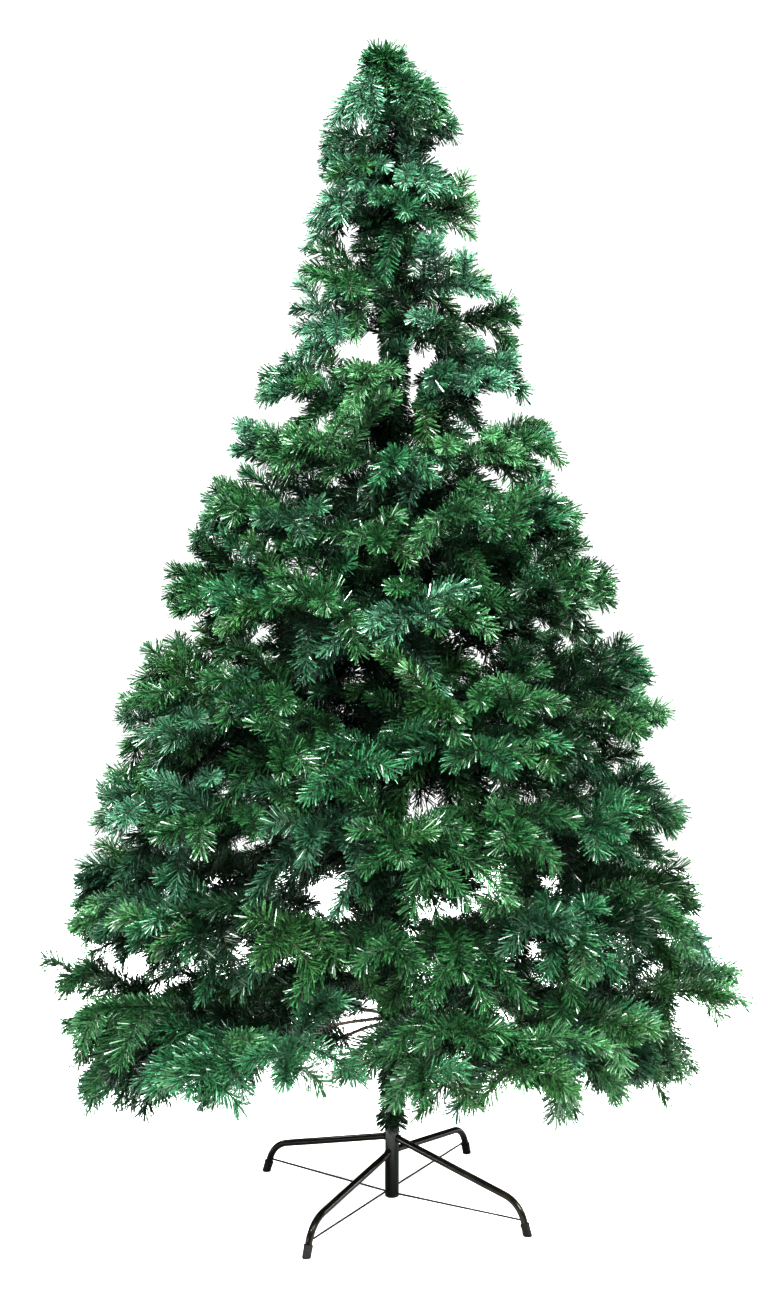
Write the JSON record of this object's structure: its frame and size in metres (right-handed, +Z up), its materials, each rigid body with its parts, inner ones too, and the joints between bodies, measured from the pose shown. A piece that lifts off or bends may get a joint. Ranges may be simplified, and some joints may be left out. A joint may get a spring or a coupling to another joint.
{
  "type": "artificial christmas tree",
  "caption": "Bushy conical artificial Christmas tree of green needle sprays on a metal pole, standing on a low stand of bent steel legs with rubber feet.",
  "frame": {"origin": "on the floor under the pole's axis, in the middle of the stand", "axes": "+Z up along the pole, +X to the right side and -Y to the front as the tree is seen"},
  "size_m": [1.0939, 1.1027, 1.8],
  "materials": {
    "stand_paint": "gloss",
    "black_plastic": "matte",
    "cap_rubber": "matte",
    "pole_paint": "satin",
    "bough_wire": "satin",
    "needles": "satin"
  },
  "bodies": {
    "root": {"stand_tube": "stand_paint", "tube_plug": "black_plastic", "leg_front_right": "stand_paint", "leg_back_right": "stand_paint", "leg_back_left": "stand_paint", "leg_front_left": "stand_paint", "foot_cap_front_right": "cap_rubber", "foot_cap_back_right": "cap_rubber", "foot_cap_back_left": "cap_rubber", "foot_cap_front_left": "cap_rubber", "tie_rod_front_right_to_back_left": "stand_paint", "tie_rod_back_right_to_front_left": "stand_paint", "pole_lower": "pole_paint", "pole_upper": "pole_paint", "bough_a1": "bough_wire", "bough_a2": "bough_wire", "bough_a3": "bough_wire", "bough_a4": "bough_wire", "bough_a5": "bough_wire", "bough_a6": "bough_wire", "bough_b1": "bough_wire", "bough_b2": "bough_wire", "bough_b3": "bough_wire", "bough_b4": "bough_wire", "bough_b5": "bough_wire", "needles_a1": "needles", "needles_a2": "needles", "needles_a3": "needles", "needles_a4": "needles", "needles_a5": "needles", "needles_a6": "needles", "needles_b1": "needles", "needles_b2": "needles", "needles_b3": "needles", "needles_b4": "needles", "needles_b5": "needles", "needles_c1": "needles", "needles_c2": "needles", "needles_c3": "needles", "needles_c4": "needles", "needles_c5": "needles", "needles_d1": "needles", "needles_d2": "needles", "needles_d3": "needles", "needles_d4": "needles", "needles_e1": "needles", "needles_e2": "needles", "needles_e3": "needles", "needles_e4": "needles", "needles_f1": "needles", "needles_f2": "needles", "needles_f3": "needles", "needles_f4": "needles", "needles_g1": "needles", "needles_g2": "needles", "needles_g3": "needles", "needles_h1": "needles", "needles_h2": "needles", "needles_top": "needles", "pole_garland": "needles"}
  },
  "joints": []
}
